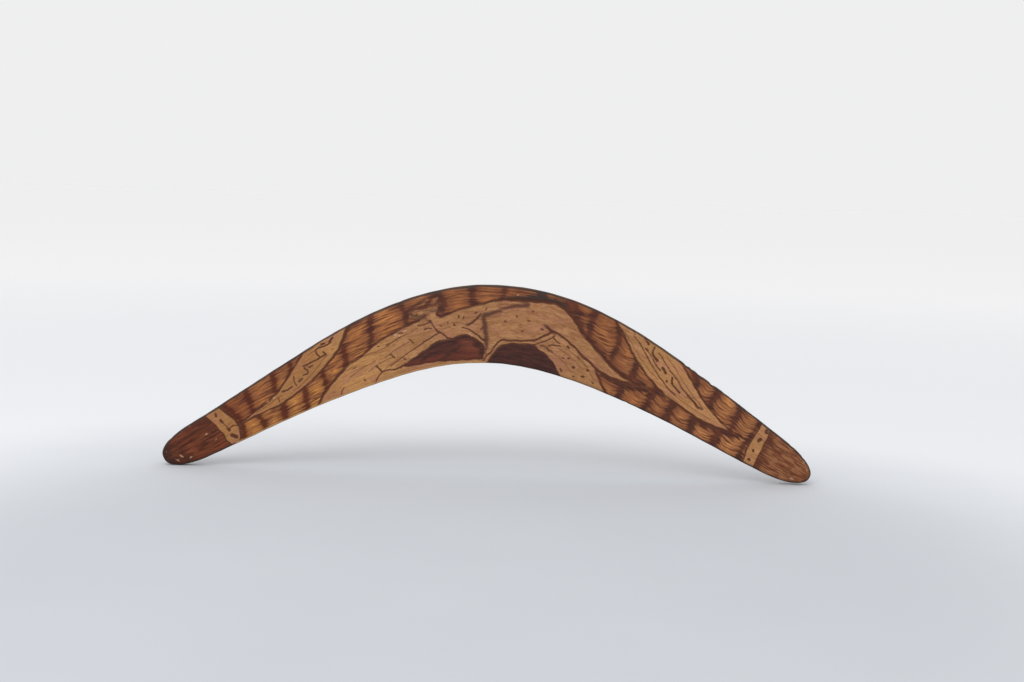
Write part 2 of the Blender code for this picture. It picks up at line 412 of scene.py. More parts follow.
# Crisp burned lines.
LINES = (
    ((0.8, 1.5), LEFT_LEAF_LOWER[:7]),
    ((1.5, 2.4), LEFT_LEAF_LOWER[6:]),
    ((1.6, 0.9), LEFT_LEAF_UPPER),
    ((1.7, 1.5), FIELD_LINE),
    (0.5, HEAD_LINE),
    ((1.2, 1.7), NECK_LINE),
    ((2.2, 1.6), BACK_LINE),
    ((2.0, 1.1), TAIL_LINE),
    ((1.4, 1.8), FIELD_END),
    (1.4, RIGHT_LEAF_LOWER),
    (1.3, RIGHT_LEAF_UPPER),
    (0.9, LEFT_BAND_OUTER),
    ((1.2, 1.9), LEFT_BAND_INNER),
    (1.0, RIGHT_BAND_INNER),
    (0.9, RIGHT_BAND_OUTER),
    (0.8, LEFT_LENS_TOP),
    (0.9, LEFT_LENS_FOOT),
    (1.0, RIGHT_LENS_TOP),
    # Belly and hind leg, chest and forearm.
    ((1.0, 1.4), [
        (-5.8, -25.5), (-3, -21), (0, -17.8), (2.2, -14.5), (4.7, -11.2), (8, -9.7), (15, -10),
        (25, -9.6), (30, -8.3), (35, -5.8), (39.5, -3.4),
    ]),
    (0.8, [(28, -12.1), (33, -10.4), (38, -7.8), (41, -6.2)]),
    ((1.0, 0.8), [(39.5, -7), (41.5, -9.2), (44, -10.8)]),
    ((0.7, 1.3), [(-19, -2.6), (-14, -3.8), (-10, -6.3), (-6.4, -9.2), (-4, -10.4)]),
    ((0.8, 1.2), [
        (-39.5, 1.6), (-38, -0.6), (-36.6, -3), (-34.6, -5.4), (-32.5, -6.3), (-29.5, -8.2),
        (-27.5, -9.7), (-24.5, -10.2),
    ]),
    ((0.7, 1.1), [(-15.5, -1), (-11.4, 1.2), (-9.2, 4), (-7.2, 6.8)]),
    # Neck folds.
    (0.9, [(-42.8, -4.7), (-40.5, -3.9), (-38.3, -3.9)]),
    (0.8, [(-47, -2.2), (-43, -1.6), (-40.5, -0.3), (-38.6, 1)]),
    # Long lines and the forked line of the pale ground.
    ((0.5, 0.9), [(-64, -29), (-59, -25), (-50, -17.9), (-45, -14.5), (-40, -10.8), (-36, -8),
        (-32.5, -6.3)]),
    ((0.8, 0.6), [(-67, -15.6), (-62, -12.6), (-58.3, -10.3)]),
    ((0.7, 1.0), [(-73.8, -40.5), (-71.5, -36), (-69, -33), (-65, -31.6), (-60, -30.6), (-56.3, -28.9)]),
    (1.2, [(-72.7, -29.6), (-71.6, -30.6), (-69.8, -32.2)]),
    # Cracks of the pale ground.
    (0.8, [(-52.6, -11.3), (-51.4, -12), (-49.4, -13.7)]),
    (0.8, [(-64.6, -21.4), (-63.4, -21.8), (-61.6, -23.6)]),
    (0.6, [(-93.4, -44), (-94.6, -46), (-95.4, -48.6)]),
    # Ground under the tail.
    (0.9, [(32, -12.7), (34, -12.7), (36, -14.2), (37.4, -16)]),
    (0.8, [(37, -13), (38.6, -12.2), (43, -12.2), (44.6, -12.8)]),
    # Marks of the left leaf.
    ((1.2, 0.8), [(-133.2, -48), (-130.4, -46.8), (-129, -45.6), (-127, -44.4)]),
    (0.8, [(-126.2, -38), (-125.6, -41), (-124, -43.6)]),
    ((1.4, 1.0), [(-122.6, -40.6), (-120.4, -38.8)]),
    (1.0, [(-119.4, -32), (-117.4, -33.6), (-117.2, -35.6), (-119.6, -36.6)]),
    ((1.2, 0.8), [(-116, -31.4), (-113.8, -30.4)]),
    ((1.0, 1.3), [(-120, -31), (-115, -28.4), (-110, -25.4), (-106, -22.8), (-107.4, -21.4)]),
    (1.0, [(-109.6, -24.6), (-111.4, -22.6), (-112, -20), (-109, -18.4), (-105, -16.5), (-102.6, -14.6)]),
    # Marks of the right leaf.
    ((0.7, 0.8), [(91.6, -4.6), (96, -10), (100, -17), (103, -22), (107, -28), (111, -33), (115, -38),
        (119.4, -42)]),
    ((0.7, 0.8), [(99.5, -12.2), (103, -17.4), (106, -22), (109, -26)]),
    ((0.7, 0.9), [(108, -15), (112, -21), (115, -25.4), (118, -29), (121, -33), (124, -37.5),
        (128, -42.5)]),
    ((1.4, 1.5), [(127.6, -42), (131, -45.2), (134, -48.8), (137.4, -50.4)]),
    (1.4, [(98.6, -6), (99.8, -7.6), (101, -9.4)]),
    ((1.0, 1.8), [(105, -11), (104, -15), (105.4, -18), (107, -19.8)]),
    (1.4, [(110.4, -24.4), (111.8, -26), (113, -28)]),
    (1.3, [(117, -30.6), (117.4, -34.6), (119.6, -37.6), (122, -40)]),
    # Marks of the left band.
    ((2.2, 2.6), [(-165.4, -77.2), (-162.6, -78.4)]),
    (0.8, [(-172, -69), (-169, -71.4), (-167.4, -73.2)]),
    (0.8, [(-167, -73), (-165, -71.4), (-162.4, -70.8)]),
)

# Pecks, as rows of width, x, z, x, z.
PECKS = (
    # On the pale ground.
    (0.9, -59, -7.6, -56.8, -7.6), (1.0, -55.2, -23.9, -54.4, -24), (0.8, -72.6, -16.4, -71.8, -16.6),
    (0.6, -88, -31.3, -86, -30.5), (1.2, -80.6, -38.4, -79.8, -38.6), (0.7, -57.6, -29.8, -57.2, -30.4),
    # On the figure, its eye last.
    (0.9, -21.2, 5, -21, 3.6), (0.9, -18, 4.6, -18.2, 3), (1.1, -24.2, -0.6, -23.6, -1.4),
    (0.9, -32.8, -2, -32.2, -2.4), (0.7, -28.4, 0, -27.8, 0.3), (0.8, -11, 6.8, -9.6, 7.4),
    (0.9, -4, 9.2, -3.2, 10.4), (1.0, 26, 9.4, 26.6, 9), (0.9, 15.6, 6.2, 16.4, 5.6),
    (1.0, 8.2, 2.6, 9.4, 2.2), (0.9, 23, 3.2, 24.4, 3), (1.2, 31.8, -2.2, 33, -2.4),
    (1.0, 19.4, -3.6, 20.2, -3.6), (0.9, -6.6, -3.6, -5.6, -2), (1.0, -48.6, 4.2, -47.6, 4.7),
    # Under the tail.
    (0.7, 38.4, -15.4, 39.4, -16.6), (1.1, 49.2, -12.4, 50.2, -13.6), (0.9, 46.2, -20.2, 47, -20.4),
    (0.9, 49.6, -20, 51, -20.4), (0.7, 56, -19, 57.4, -21), (1.7, 53, -25.8, 53.8, -26),
    (0.9, 44.8, -27, 46, -28.8), (1.3, 62.2, -27.6, 63, -27.8), (1.1, 58.8, -31.8, 60.2, -31.6),
    (0.9, 65.6, -35.4, 66.6, -35.8), (0.9, 53, -31.6, 53.8, -32),
    # On the left leaf.
    (1.5, -103.6, -14.6, -101.6, -12), (1.3, -109, -16.4, -107, -15.6), (0.6, -135.4, -52, -134.8, -54.6),
    (0.6, -99.6, -9.6, -98.6, -8.6),
    # On the right leaf.
    (1.0, 99.4, -12.2, 100.8, -13.4), (1.2, 113.4, -32.8, 114, -33.6), (1.0, 90.8, -0.6, 92, -3),
    # On the two bands.
    (1.5, -176.3, -64, -175.8, -65.5), (1.9, -172.7, -68, -171.8, -69), (1.8, -168, -73, -167.2, -73.9),
    (2.4, 179.4, -63.1, 179.7, -64.1), (2.2, 174.6, -69.7, 175.6, -69), (1.3, 171.4, -76, 171.4, -77.1),
    (1.8, 168.8, -82.2, 169.3, -82.6),
)

# Thin lines hardly burned in.
FAINT_LINES = (
    (0.6, [(-38.6, 12.6), (-36, 14.8)]),
    (0.7, [(-51.8, 3.8), (-50.6, 3), (-49.2, 2.6)]),
    (0.6, [(-84, -24), (-78, -21.6), (-70, -18.4), (-65, -15)]),
    (0.6, [(-58.3, -10.3), (-52, -6.8), (-47, -4)]),
    (0.5, [(-90, -37), (-82, -31), (-74, -26)]),
    (0.6, [(-78, -33), (-70, -27), (-62, -22.6)]),
    (0.5, [(-68, -24), (-60, -17.6), (-52, -13)]),
    (0.5, [(-60, -24.6), (-66, -29.6), (-70, -34)]),
    (0.5, [(-101, -47.2), (-99, -47.2)]),
    (0.5, [(34, -14), (40, -17), (46, -22), (52, -29)]),
    (0.5, [(43, -13.6), (48, -17), (53, -21), (58, -26)]),
    (0.5, [(46, -12), (52, -16.6), (57, -20.6), (63, -26)]),
    (0.5, [(14, 13.6), (8, 13.2), (3, 11.8)]),
    (0.5, [(-16, -1), (-20, 0.4), (-26, 0.6)]),
    (0.5, [(60, -24), (64, -29), (67, -34)]),
    (0.5, [(84, 0), (90, -9), (95, -17), (101, -25), (108, -32)]),
    (0.5, [(113, -17), (119, -25), (125, -34), (131, -42), (137, -49)]),
    (0.5, [(119, -42), (126, -47), (134, -52), (143, -57)]),
    (0.5, [(-150, -62), (-141, -56), (-134, -50)]),
    (0.5, [(-126, -47), (-118, -40), (-111, -31), (-104, -22)]),
    (0.5, [(-117, -24), (-110, -18), (-105, -14)]),
)

SLOW_WOBBLE = 0.16
QUICK_WOBBLE = 0.07


def hand_wobble(places):
    """The places nudged by a fraction of a millimetre, so that no burned line is ruled."""
    x, z = places.T
    slow = [np.sin(0.83 * z + 1.7 * np.sin(0.31 * x)), np.sin(0.77 * x + 1.9 * np.sin(0.27 * z))]
    quick = [np.sin(2.9 * z + 1.3 * x), np.sin(3.1 * x - 1.1 * z)]
    return places + SLOW_WOBBLE * np.transpose(slow) + QUICK_WOBBLE * np.transpose(quick)


def short_strokes(rows):
    """Strokes of two points each, from rows of width, x, z, x, z."""
    return tuple((width, [(x0, z0), (x1, z1)]) for width, x0, z0, x1, z1 in rows)


# How each field of the decoration is measured, from which marks, and how far it reaches.
DECORATION = {
    "pale": (regions_field, PALE_REGIONS, 6.0),
    "lens": (regions_field, LENS_REGIONS, 6.0),
    "tip": (regions_field, TIP_REGIONS, 12.0),
    "bar": (strokes_field, BARS, 9.0),
    "soft": (strokes_field, SOFT_STROKES, 3.0),
    "line": (strokes_field, LINES + short_strokes(PECKS), 3.0),
    "faint": (strokes_field, FAINT_LINES, 2.0),
    "char": (strokes_field, CHARRED_STROKES, 4.0),
    "scuff": (strokes_field, short_strokes(SCUFFS), 2.0),
}


def decoration_fields(places):
    drawn = hand_wobble(places)
    return {name: measure(drawn, marks, reach) for name, (measure, marks, reach) in DECORATION.items()}


# ---- The plies' meshes ----

FACE_STEP = 0.56
FACE_COLUMNS = 96
EDGE_STEP = 1.1
BACK_COLUMNS = 24
EDGE_RINGS = 5
PLY_CHAMFER = 0.07
PLY_CLEARANCE = 0.01
EDGE_REACH = 4.0
SMOOTH_ANGLE = math.radians(40)
SANDED_OFF = 0.16
LINE_DEPTH = 0.16
SOFT_DEPTH = 0.1
FAINT_DEPTH = 0.05
THICKNESS = (cad_high.y - cad_low.y) / MM

# Places on the outline where the edge is chipped: x, z, how far the chip runs, how deep it is.
NICKS = (
    (126.2, -22.6, 2.4, 0.75), (130, -25, 1.6, 0.35), (135.6, -28.6, 3.4, 0.6),
    (143.6, -34.2, 2.6, 0.6), (152, -39.8, 1.8, 0.3), (197, -72.6, 2.0, 0.45),
    (204.8, -79.6, 1.8, 0.4), (-205.5, -80.4, 2.0, 0.3), (-208, -93, 2.2, 0.35),
    (-60, 13, 2.0, 0.2), (88, -47.8, 2.2, 0.25),
)


def soft_step(value, low, high):
    """0 below low and 1 above high, smooth between. Low may be the greater of the two."""
    t = np.clip((value - low) / (high - low), 0, 1)
    return t * t * (3 - 2 * t)


def hand_sanded(edge, along):
    """The outline as hand sanding and knocks left it, always a little inside the true one."""
    waver = 0.5 + 0.25 * np.sin(along * 0.19 + 0.4) + 0.25 * np.sin(along * 0.47 + edge[:, 1] * 0.11)
    amount = SANDED_OFF * waver
    ragged = 0.8 + 0.2 * np.sin(along * 5.3)
    for x, z, run, depth in NICKS:
        gap = np.hypot(edge[:, 0] - x, edge[:, 1] - z) / run
        amount += depth * ragged * np.clip(1 - gap**2, 0, 1) ** 1.5
    return edge + inward(edge) * amount[:, None]


def edge_inset(depth):
    """How far the rounded edge stands inside the outline at a depth below the decorated face."""
    for below, radius in ((depth, FRONT_EDGE_RADIUS), (THICKNESS - depth, BACK_EDGE_RADIUS)):
        if below < radius:
            return radius - math.sqrt(radius**2 - (radius - below) ** 2)
    return 0.0


def ring_depths(start, end):
    """(depth, inset) of each ring round one ply."""
    sag = 1 - np.cos(np.linspace(0, math.pi / 2, EDGE_RINGS + 1))
    rounding = sorted([*(FRONT_EDGE_RADIUS * sag), *(THICKNESS - BACK_EDGE_RADIUS * sag)])
    low, high = start + PLY_CHAMFER, end - PLY_CHAMFER
    depths = [depth for depth in rounding if low + PLY_CHAMFER < depth < high - PLY_CHAMFER]
    first, last = edge_inset(start), edge_inset(end)
    # Only the corners at glue lines are broken: the board's own are rounded.
    if start > 0:
        depths.insert(0, low)
        first += PLY_CHAMFER
    if end < THICKNESS:
        depths.append(high)
        last += PLY_CHAMFER
    return [(start, first), *[(depth, edge_inset(depth)) for depth in depths], (end, last)]


class PlyMesh:
    """Gathers one ply's vertices and faces, in millimetres, with each vertex's place on the arm."""

    def __init__(self):
        self.blocks = []
        self.count = 0
        self.faces = []

    def add(self, places, depth, along, across, edge):
        """Adds a block of vertices and returns their indices."""
        values = (*places.T, depth, along, across, edge)
        self.blocks.append(np.stack([np.broadcast_to(value, len(places)) for value in values], axis=1))
        first = self.count
        self.count += len(places)
        return np.arange(first, self.count)

    def close(self, ring, columns, points, along, across, depth, facing):
        """Fills a ring with a grid. Facing is 1 for the decorated side and -1 for the back."""
        last = len(along) - 1
        upper, lower = ring[: last + 1], np.append(ring[0], ring[:last:-1])
        share = np.arange(1, columns) / columns
        ladder = [lower[1:]]
        top, foot = points[1:last], points[:last:-1]
        for part in share:
            spot = foot + (top - foot) * part
            middle = across[:last:-1] + (across[1:last] - across[:last:-1]) * part
            ladder.append(self.add(spot, depth, along[1:last], middle, np.nan))
        ladder.append(upper[1:last])
        grid = np.stack(ladder)
        quads = np.stack([grid[:-1, :-1], grid[:-1, 1:], grid[1:, 1:], grid[1:, :-1]], axis=-1)
        self.faces += quads.reshape(-1, 4)[:, ::facing].tolist()
        left = [[ring[0], a, b][::facing] for a, b in zip(grid[:-1, 0], grid[1:, 0])]
        right = [[ring[last], b, a][::facing] for a, b in zip(grid[:-1, -1], grid[1:, -1])]
        self.faces += left + right


def build_ply(start, end, step, front_columns, back_columns):
    """Gathers one ply between two depths. Returns it with the outline it was made from."""
    walk = stations(step)
    along = np.concatenate([walk, walk[-2:0:-1]])
    half = half_width(walk)
    across = np.concatenate([half, -half[-2:0:-1]])
    edge = hand_sanded(outline(walk), along)
    square = inward(edge)
    ply = PlyMesh()
    rings = []
    for depth, inset in ring_depths(start, end):
        spot = edge + square * inset
        out = across + np.sign(across) * (depth - inset)
        rings.append(ply.add(spot, depth, along, out, inset - depth))
    for near, far in zip(rings, rings[1:]):
        sides = np.stack([near, np.roll(near, -1), np.roll(far, -1), far], axis=1)
        ply.faces += sides.tolist()
    for ring, columns, facing in ((0, front_columns, 1), (-1, back_columns, -1)):
        depth, inset = ring_depths(start, end)[ring]
        ply.close(rings[ring], columns, edge + square * inset, walk, across, depth, facing)
    return ply, edge


def add_object(name, data):
    made = bpy.data.objects.new(name, data)
    bpy.context.scene.collection.objects.link(made)
    return made


def make_object(name, ply, edge, material, decorated=False):
    """Turns a gathered ply into an object whose mesh carries the fields its material reads."""
    x, z, depth, along, across, rim = np.concatenate(ply.blocks).T
    places = np.stack([x, z], axis=1)
    border = np.full(len(places), EDGE_REACH)
    lower_by_stroke(border, places, np.concatenate([edge, edge[:1]]), (0.0, 0.0), EDGE_REACH)
    edge_field = np.where(np.isnan(rim), border, rim)
    fields = {"along": along, "across": across, "edge": edge_field, "stain": rim_darkness(along, across)}
    if decorated:
        fields.update(decoration_fields(places))
        depth = depth + face_relief(places, depth, fields)
    mesh = bpy.data.meshes.new(name)
    mesh.from_pydata(np.stack([x, depth - THICKNESS, z], axis=1) * MM, [], ply.faces)
    mesh.update()
    for field, values in fields.items():
        attribute = mesh.attributes.new(field, "FLOAT", "POINT")
        attribute.data.foreach_set("value", values.astype(np.float32))
    mesh.materials.append(material)
    mesh.shade_smooth()
    mesh.set_sharp_from_angle(angle=SMOOTH_ANGLE)
    return add_object(name, mesh)


def rim_darkness(along, across):
    """How dark the rim is made: all of the upper edge, but only the ends of the lower one."""
    lower = 0.9 * soft_step(along, 55, 110) + soft_step(along, -184, -190)
    lower = np.maximum(lower, 0.5 * soft_step(along, -12, 8))
    upper_share = soft_step(across, -6, 2)
    return np.maximum(upper_share, np.clip(lower, 0.08, 1))


def face_relief(places, depth, fields):
    """How far the burning point and wear sank each point of the decorated face."""
    x, z = places.T
    line = LINE_DEPTH * soft_step(fields["line"], 0.3, -0.35)
    faint = FAINT_DEPTH * soft_step(fields["faint"], 0.3, -0.3)
    groove = np.maximum(line + faint, SOFT_DEPTH * soft_step(fields["soft"], 0.6, -0.6))
    swell = 0.03 + 0.02 * np.sin(x * 0.07 + 1.1) + 0.01 * np.sin(z * 0.23 + x * 0.05)
    on_face = depth < 0.001
    return np.where(on_face, groove + swell, 0.0)


# ---- Materials ----

BUMP_DEPTH = 0.1

# Grains of the decorated face: cycles per millimetre along and across, seed, detail, distortion.
STREAK = (0.062, 0.72, 0.0, 2.5, 0.3)
FINE = (0.11, 1.9, 7.0, 3.0, 0.1)
BROAD = (0.035, 0.1, 3.0, 2.0, 0.4)
BLOTCH = (0.1, 0.24, 12.0, 3.0, 0.4)
HATCH = (0.045, 0.62, 17.0, 1.0, 0.5)
CROSS_HATCH = (0.06, 0.8, 27.0, 1.0, 0.4)
PINK = (0.05, 0.14, 61.0, 2.0, 0.5)
VEIN = (0.018, 0.36, 91.0, 1.0, 0.6)
PORE = (0.3, 2.6, 71.0, 1.0, 0.0)
FLECK = (0.22, 1.6, 81.0, 2.0, 0.1)


def linear(colour):
    """A display colour of three numbers up to 255, as the shader nodes take it."""
    shown = Color([value / 255 for value in colour])
    return [*shown.from_srgb_to_scene_linear(), 1.0]


class Shader:
    """Short calls that build one material. A colour is a socket or three numbers up to 255."""

    def __init__(self, name, roughness, specular):
        self.material = bpy.data.materials.new(name)
        self.material.use_nodes = True
        self.nodes = self.material.node_tree.nodes
        self.surface = self.nodes["Principled BSDF"]
        self.surface.inputs["Roughness"].default_value = roughness
        self.surface.inputs["Specular IOR Level"].default_value = specular

    def put(self, socket, value):
        if isinstance(value, bpy.types.NodeSocket):
            self.material.node_tree.links.new(value, socket)
        else:
            socket.default_value = value

    def add(self, kind, inputs, **settings):
        """A new node with its settings made and then its inputs filled."""
        node = self.nodes.new(kind)
        for name, value in settings.items():
            setattr(node, name, value)
        for name, value in inputs.items():
            self.put(node.inputs[name], value)
        return node

    def field(self, name):
        return self.add("ShaderNodeAttribute", {}, attribute_name=name).outputs["Fac"]

    def place(self):
        return self.add("ShaderNodeTexCoord", {}).outputs["Object"]

    def math(self, operation, first, second=0.0):
        return self.add("ShaderNodeMath", {0: first, 1: second}, operation=operation).outputs[0]

    def times(self, first, second):
        return self.math("MULTIPLY", first, second)

    def total(self, *parts):
        """The sum of parts, each a value and its weight."""
        heap = 0.0
        for value, weight in parts:
            heap = self.math("ADD", heap, self.times(value, weight))
        return heap

    def distance(self, value, centre):
        return self.math("ABSOLUTE", self.math("SUBTRACT", value, centre))

    def ragged(self, value, noise, amount):
        """A value that wanders with a noise, by up to half the amount either way."""
        return self.math("ADD", value, self.times(self.math("SUBTRACT", noise, 0.5), amount))

    def vector_math(self, operation, first, second):
        return self.add("ShaderNodeVectorMath", {0: first, 1: second}, operation=operation)

    def noise(self, vector, detail, roughness, distortion):
        shape = {"Scale": 1.0, "Detail": detail, "Roughness": roughness, "Distortion": distortion}
        return self.add("ShaderNodeTexNoise", {"Vector": vector, **shape}).outputs["Fac"]

    def spread(self, scale, detail=2.0, roughness=0.55, distortion=0.0):
        """Noise over the object's own axes. The scale is in cycles per metre along X, Y and Z."""
        scaled = self.vector_math("MULTIPLY", self.place(), scale).outputs[0]
        return self.noise(scaled, detail, roughness, distortion)

    def grain(self, along_scale, across_scale, seed, detail, distortion, bend=0.0):
        """Streaks along each arm. The scales are in cycles per millimetre, the bend in millimetres."""
        along = self.times(self.field("along"), along_scale)
        across = self.times(self.math("SUBTRACT", self.field("across"), bend), across_scale)
        vector = self.add("ShaderNodeCombineXYZ", {"X": along, "Y": across, "Z": seed}).outputs[0]
        return self.noise(vector, detail, 0.55, distortion)

    def ramp(self, value, low, high, end=1.0, start=0.0):
        """Start at low and end at high, smooth between and level outside. Low may be the greater."""
        limits = {"From Min": low, "From Max": high, "To Min": start, "To Max": end}
        node = self.add("ShaderNodeMapRange", {"Value": value, **limits}, interpolation_type="SMOOTHSTEP")
        return node.outputs["Result"]

    def mix(self, share, *colours):
        first, second = [linear(colour) if isinstance(colour, tuple) else colour for colour in colours]
        inputs = {"Factor": share, 6: first, 7: second}
        return self.add("ShaderNodeMix", inputs, data_type="RGBA").outputs[2]

    def layers(self, base, *rows):
        """Colours laid over a base. After its colour, a row has its share or what ramp takes."""
        for colour, *place in rows:
            share = place[0] if len(place) == 1 else self.ramp(*place)
            base = self.mix(share, base, colour)
        return base

    def bump(self, height):
        node = self.add("ShaderNodeBump", {"Distance": BUMP_DEPTH * MM, "Height": height})
        self.put(self.surface.inputs["Normal"], node.outputs["Normal"])

    def finish(self, colour, roughness=None):
        self.put(self.surface.inputs["Base Color"], colour)
        if roughness is not None:
            self.put(self.surface.inputs["Roughness"], roughness)
        return self.material


def hatched_ground(wood, broad, blotch):
    """Burned strokes that run along the arm, golden between the bars and dark against them."""
    along, bar = wood.field("along"), wood.field("bar")
    # On the right arm each stroke curls up towards the bars at its two ends.
    bend = wood.times(wood.ramp(bar, -1.5, 4.4, 0.0, 1.8), wood.ramp(along, 40, 75))
    streak, fine = wood.grain(*STREAK, bend), wood.grain(*FINE, bend)
    hatch = wood.distance(wood.grain(*HATCH, bend), 0.5)
    cross_hatch = wood.distance(wood.grain(*CROSS_HATCH, bend), 0.46)
    golden = wood.times(wood.ramp(along, -50, -90), wood.ramp(wood.field("across"), 0, -8))
    light = wood.layers(
        (152, 76, 28),
        ((200, 130, 70), along, -185, -140),
        ((170, 106, 60), along, -70, -45),
        ((186, 120, 70), along, 45, 90),
        ((220, 150, 90), along, 125, 165, 0.9),
        ((228, 156, 76), wood.times(golden, 0.8)),
        ((160, 92, 50), blotch, 0.44, 0.62, 0.4),
    )
    tone = wood.layers(
        (58, 26, 20),
        ((88, 42, 28), blotch, 0.4, 0.62),
        ((78, 22, 4), along, -60, -110, 0.9),
        ((104, 60, 40), fine, 0.44, 0.66, 0.3),
    )
    return wood.layers(
        (88, 44, 24),
        ((116, 64, 34), blotch, 0.4, 0.6),
        (light, streak, 0.37, 0.55),
        ((84, 42, 24), hatch, 0.05, 0.0, 0.62),
        ((92, 48, 28), cross_hatch, 0.035, 0.0, 0.45),
        ((206, 146, 88), fine, 0.5, 0.7, 0.3),
        ((112, 64, 42), broad, 0.6, 0.4, 0.3),
        ((104, 58, 38), bar, 6.5, 0.5, 0.5),
        (tone, wood.ragged(bar, streak, 8.0), 1.4, -1.2, 0.9),
    )


def bare_wood(wood, fine, broad, blotch):
    """The pale wood that the maker left between the burned grounds."""
    along = wood.field("along")
    return wood.layers(
        (150, 101, 64),
        ((178, 128, 86), blotch, 0.36, 0.66),
        ((200, 146, 84), along, -45, -95, 0.6),
        ((162, 108, 62), along, -98, -118, 0.75),
        ((194, 139, 88), along, 80, 105, 0.7),
        ((160, 116, 66), broad, 0.46, 0.62, 0.45),
        ((168, 112, 84), wood.grain(*PINK), 0.5, 0.64, 0.55),
        ((124, 76, 46), fine, 0.52, 0.7, 0.44),
        ((122, 76, 46), wood.distance(wood.grain(*VEIN), 0.5), 0.035, 0.0, 0.45),
        ((108, 64, 40), wood.grain(*PORE), 0.58, 0.68, 0.6),
        ((204, 158, 116), wood.grain(*FLECK), 0.56, 0.72, 0.45),
    )


def scorched_wood(wood, streak, fine, blotch):
    """The two dark lenses under the figure: near black, redder inside the left one and at its foot."""
    along, lens = wood.field("along"), wood.field("lens")
    left = wood.times(wood.ramp(along, -4, -12), wood.ramp(lens, -0.8, -4.0))
    redder = wood.ramp(along, -28, -15, 1.0, 0.15)
    reddest = wood.math("MAXIMUM", redder, wood.ramp(along, -38, -50, 0.6))
    foot = wood.times(wood.ramp(wood.field("across"), -16, -20), wood.ramp(along, -5, -13))
    warm = wood.layers((86, 40, 26), ((124, 64, 42), blotch, 0.42, 0.6))
    return wood.layers(
        (54, 26, 22),
        ((76, 38, 30), streak, 0.38, 0.62),
        (warm, wood.times(wood.times(left, reddest), 0.85)),
        ((96, 58, 46), fine, 0.5, 0.68, 0.5),
        ((112, 52, 34), wood.times(foot, 0.5)),
        ((48, 28, 24), blotch, 0.46, 0.36, 0.6),
    )


def tip_wood(wood, streak, fine, broad, blotch):
    """The plain scorched tips, the left one red brown and the right one lighter."""
    along = wood.field("along")
    left = wood.layers(
        (56, 20, 10),
        ((86, 38, 20), blotch, 0.42, 0.58),
        ((116, 56, 28), streak, 0.4, 0.58),
        ((142, 86, 54), fine, 0.5, 0.68, 0.6),
        ((50, 20, 12), broad, 0.5, 0.38, 0.6),
        ((46, 28, 22), along, -222, -231, 0.8),
    )
    amber = wood.layers((114, 60, 32), ((150, 96, 60), blotch, 0.42, 0.58))
    right = wood.layers(
        (84, 40, 24),
        (amber, streak, 0.36, 0.54),
        ((170, 122, 86), fine, 0.5, 0.68, 0.6),
        ((78, 34, 20), wood.ragged(wood.field("tip"), broad, 8.0), -6.0, -1.0, 0.6),
    )
    return wood.layers(left, (right, along, -10, 10))


def decorated_wood():
    wood = Shader("burned_and_varnished_wood", roughness=0.45, specular=0.22)
    streak, fine = wood.grain(*STREAK), wood.grain(*FINE)
    broad, blotch = wood.grain(*BROAD), wood.grain(*BLOTCH)
    speck = wood.spread((420, 420, 420), 3.0, 0.6)
    tip = wood.field("tip")
    lens = wood.ragged(wood.field("lens"), fine, 1.6)
    line = wood.ragged(wood.field("line"), fine, 0.9)
    worn = wood.ramp(blotch, 0.3, 0.5, 1.0, 0.72)
    # Share of the rim that is darkened; where it is low, the bare rim gets a painted highlight.
    stain = wood.field("stain")
    rim = wood.ramp(wood.ragged(wood.field("edge"), blotch, 2.4), 1.5, 0.4, 0.86)
    rubbed = wood.times(wood.ramp(speck, 0.64, 0.74), wood.ramp(tip, 0.0, -3.0))
    colour = wood.layers(
        hatched_ground(wood, broad, blotch),
        # The other grounds, cut cleanly against each other.
        (bare_wood(wood, fine, broad, blotch), wood.field("pale"), 0.25, -0.25),
        (scorched_wood(wood, streak, fine, blotch), lens, 0.35, -0.35),
        (tip_wood(wood, streak, fine, broad, blotch), tip, 0.3, -0.3),
        # Burned strokes: soft, charred, faint and crisp.
        ((74, 40, 32), wood.ragged(wood.field("soft"), streak, 2.2), 0.9, -1.3, 0.86),
        ((54, 45, 39), wood.ragged(wood.field("char"), broad, 3.0), 1.3, -1.2, 0.82),
        ((108, 64, 38), wood.field("faint"), 0.34, -0.2, 0.68),
        ((78, 38, 22), wood.times(wood.ramp(line, 0.3, -0.25, 0.92), worn)),
        # The rounded edge: darkened nearly black above and at the ends, bare below with a painted
        # highlight.
        ((50, 38, 32), wood.times(rim, stain)),
        # Painted highlight: the light that the bare lower rim would catch from below.
        ((214, 164, 104), wood.times(rim, wood.ramp(stain, 0.3, 0.1, 0.7))),
        # Rubbed and knocked places.
        ((180, 128, 98), wood.times(rubbed, 0.45)),
        ((200, 166, 134), wood.ragged(wood.field("scuff"), speck, 3.0), 0.35, -0.35, 0.62),
    )
    wood.bump(wood.total((wood.ramp(line, 0.35, -0.3), -1.0), (streak, 0.5), (fine, 0.35)))
    return wood.finish(colour, wood.ramp(blotch, 0.3, 0.7, 0.56, 0.4))


def stained_edge(name, dark, light, fibre_scale, pore_scale):
    """Wood seen only at the board's edge, under a dark stain that handling has worn thin."""
    wood = Shader(name, roughness=0.5, specular=0.3)
    fibre = wood.grain(fibre_scale, 2.6, 21.0, 3.0, 0.1)
    pores = wood.grain(pore_scale, pore_scale, 31.0, 2.0, 0.0)
    patch = wood.grain(0.05, 0.08, 41.0, 3.0, 0.3)
    stain = wood.layers((44, 33, 28), ((66, 48, 38), fibre, 0.42, 0.6))
    colour = wood.layers(
        dark,
        (light, fibre, 0.4, 0.62),
        ((44, 30, 24), pores, 0.58, 0.7, 0.7),
        (stain, patch, 0.4, 0.62, 0.15, 0.72),
    )
    wood.bump(wood.math("SUBTRACT", fibre, pores))
    return wood.finish(colour, wood.ramp(patch, 0.3, 0.7, 0.6, 0.42))


